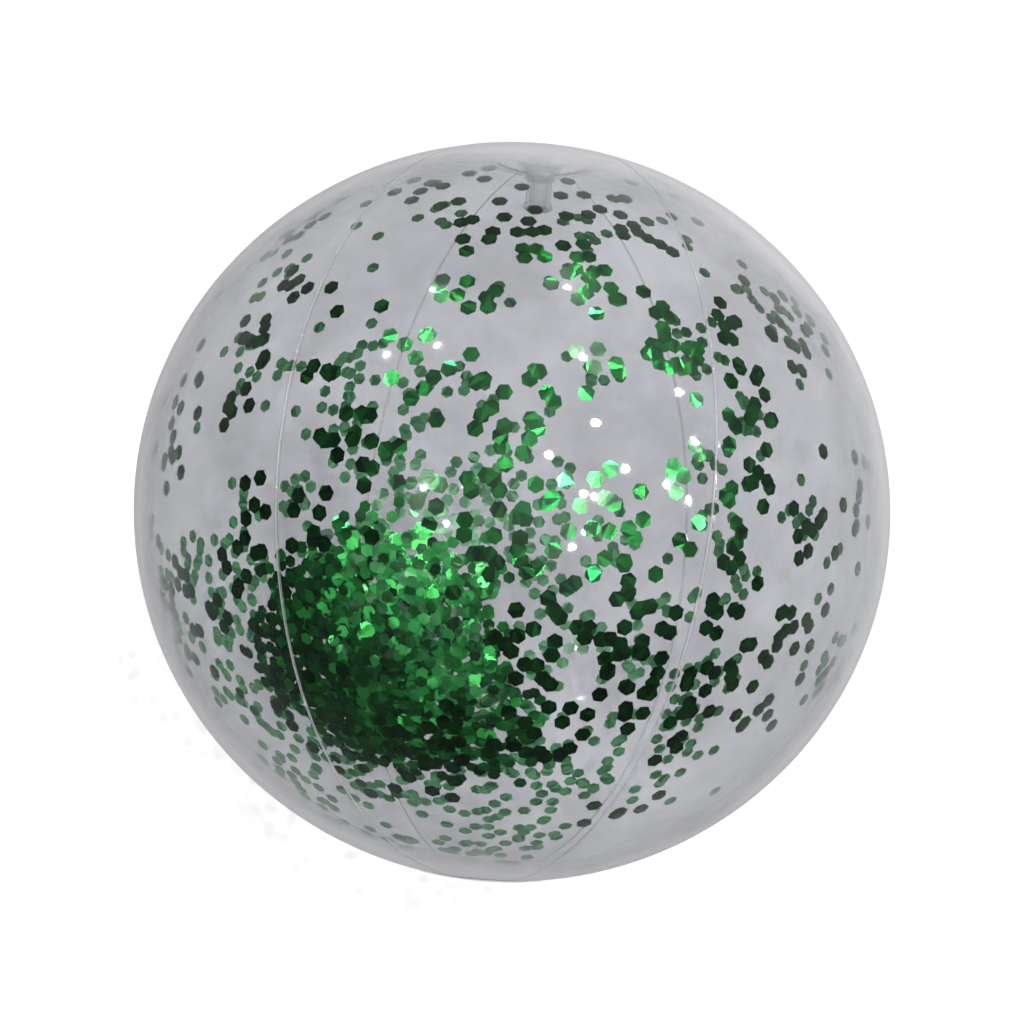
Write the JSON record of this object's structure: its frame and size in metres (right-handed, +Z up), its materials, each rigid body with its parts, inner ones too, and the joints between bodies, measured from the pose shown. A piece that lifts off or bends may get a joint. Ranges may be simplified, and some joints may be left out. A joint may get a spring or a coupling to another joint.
{
  "type": "beach ball",
  "caption": "Clear inflatable beach ball of welded gore panels and end discs, with a push-in valve and green foil confetti sealed inside.",
  "frame": {"origin": "middle of the small flat that the ball's weight presses into its lowest point", "axes": "+Z up; the ball lies on its side, its pole axis in the YZ plane, with the valve end towards +Y and raised 22 degrees"},
  "size_m": [0.266, 0.2607, 0.2645],
  "materials": {
    "clear_film": "clear glossy vinyl film with a faint grey haze",
    "valve_vinyl": "soft clear moulded vinyl",
    "green_foil": "metallised green foil, mirror bright"
  },
  "bodies": {
    "ball": {"gore_panel_1": "clear_film", "gore_panel_2": "clear_film", "gore_panel_3": "clear_film", "gore_panel_4": "clear_film", "gore_panel_5": "clear_film", "gore_panel_6": "clear_film", "valve_end_disc": "clear_film", "plain_end_disc": "clear_film", "valve_flange": "valve_vinyl", "valve_skirt": "valve_vinyl", "wall_confetti_1": "green_foil", "wall_confetti_2": "green_foil", "wall_confetti_3": "green_foil", "wall_confetti_4": "green_foil", "wall_confetti_5": "green_foil", "wall_confetti_6": "green_foil"},
    "valve_stem": {"valve_stem": "valve_vinyl"},
    "stopper": {"stopper_plug": "valve_vinyl", "stopper_strap": "valve_vinyl"},
    "check_flap": {"check_flap": "valve_vinyl"},
    "loose_confetti": {"loose_confetti_lower": "green_foil", "loose_confetti_middle": "green_foil", "loose_confetti_upper": "green_foil"}
  },
  "joints": [
    {"name": "valve_pop_out", "type": "slide", "parent": "ball", "child": "valve_stem", "axis": [0, 0.9272, 0.3746], "range_m": [0, 0.0095]},
    {"name": "stopper_swing", "type": "hinge", "parent": "valve_stem", "child": "stopper", "pos_m": [0, 0.11646, 0.1879], "axis": [1, 0, 0], "range_deg": [0, 150]},
    {"name": "flap_open", "type": "hinge", "parent": "valve_stem", "child": "check_flap", "pos_m": [0, 0.09889, 0.17789], "axis": [-1, 0, 0], "range_deg": [0, 60], "stiffness_Nm_per_rad": 0.00005},
    {"name": "confetti_roll", "type": "hinge", "parent": "ball", "child": "loose_confetti", "pos_m": [0, -0.00192, 0.13188], "axis": [0, 0.9272, 0.3746], "continuous": true}
  ]
}
